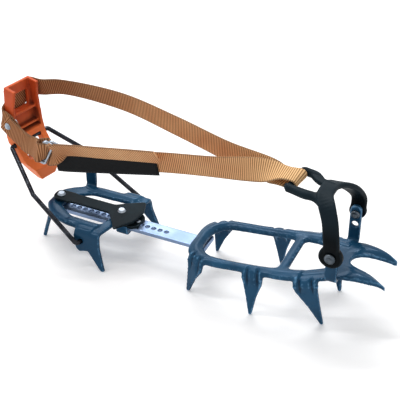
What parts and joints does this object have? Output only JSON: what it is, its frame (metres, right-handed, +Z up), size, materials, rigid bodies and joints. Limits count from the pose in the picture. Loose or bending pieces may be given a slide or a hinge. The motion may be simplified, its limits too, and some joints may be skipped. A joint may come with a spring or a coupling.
{
  "type": "mountaineering crampon",
  "caption": "Mountaineering crampon for one boot: folded steel toe and heel frames on a drilled link bar, moulded toe harness, wire heel bail with lever, and webbing safety strap.",
  "frame": {"origin": "on the ground under the middle of the part's box", "axes": "+X to the toe, +Y to the far side of the boot, +Z up"},
  "size_m": [0.3563, 0.0945, 0.1255],
  "materials": {
    "frame_blue": "satin enamel",
    "black_mould": "matt",
    "black_steel": "satin black",
    "bar_steel": "bright",
    "rivet_steel": "bright",
    "wire_steel": "drawn wire",
    "lever_orange": "moulded",
    "webbing": "woven",
    "label_black": "woven, bare"
  },
  "bodies": {
    "front": {"front_frame": "frame_blue", "toe_rivet_near": "rivet_steel", "toe_rivet_far": "rivet_steel"},
    "harness": {"toe_harness": "black_mould"},
    "bar": {"link_bar": "bar_steel"},
    "heel": {"heel_frame": "frame_blue", "bar_guide": "black_steel", "guide_rivets": "rivet_steel", "plate_rivet": "rivet_steel"},
    "latch": {"adjuster_plate": "black_steel", "lock_pin": "rivet_steel"},
    "bail": {"heel_bail": "wire_steel"},
    "lever": {"heel_lever": "lever_orange", "strap_rivet": "wire_steel", "buckle_strap": "webbing", "buckle_ring_upper": "rivet_steel", "buckle_ring_lower": "rivet_steel", "strap_far_run": "webbing", "strap_near_run": "webbing", "strap_tail": "webbing", "strap_label": "label_black"}
  },
  "joints": [
    {"name": "harness_swing", "type": "hinge", "parent": "front", "child": "harness", "pos_m": [0.13862, -0.03482, 0.0765], "axis": [0, 1, 0], "range_deg": [-40, 50], "deforming": ["strap_far_run", "strap_near_run", "strap_tail", "strap_label"]},
    {"name": "bar_flex", "type": "hinge", "parent": "front", "child": "bar", "pos_m": [0.01687, -0.00657, 0.02765], "axis": [0, 1, 0], "range_deg": [-5, 8], "deforming": ["strap_far_run", "strap_near_run", "strap_tail", "strap_label"]},
    {"name": "heel_slide", "type": "slide", "parent": "bar", "child": "heel", "axis": [1, 0, 0], "range_m": [-0.03, 0.03], "deforming": ["strap_far_run", "strap_near_run", "strap_tail", "strap_label"]},
    {"name": "latch_lift", "type": "hinge", "parent": "heel", "child": "latch", "pos_m": [-0.11488, -0.00657, 0.0375], "axis": [0, -1, 0], "range_deg": [-1.8, 3]},
    {"name": "bail_swing", "type": "hinge", "parent": "heel", "child": "bail", "pos_m": [-0.06778, -0.00657, 0.024], "axis": [0.2504, 0.9681, 0], "range_deg": [-3, 70], "deforming": ["strap_far_run", "strap_near_run", "strap_tail", "strap_label"]},
    {"name": "lever_turn", "type": "hinge", "parent": "bail", "child": "lever", "pos_m": [-0.15831, 0.01684, 0.0715], "axis": [0.2504, 0.9681, 0], "range_deg": [-90, 12], "deforming": ["strap_far_run", "strap_near_run", "strap_tail", "strap_label", "buckle_strap"]}
  ]
}
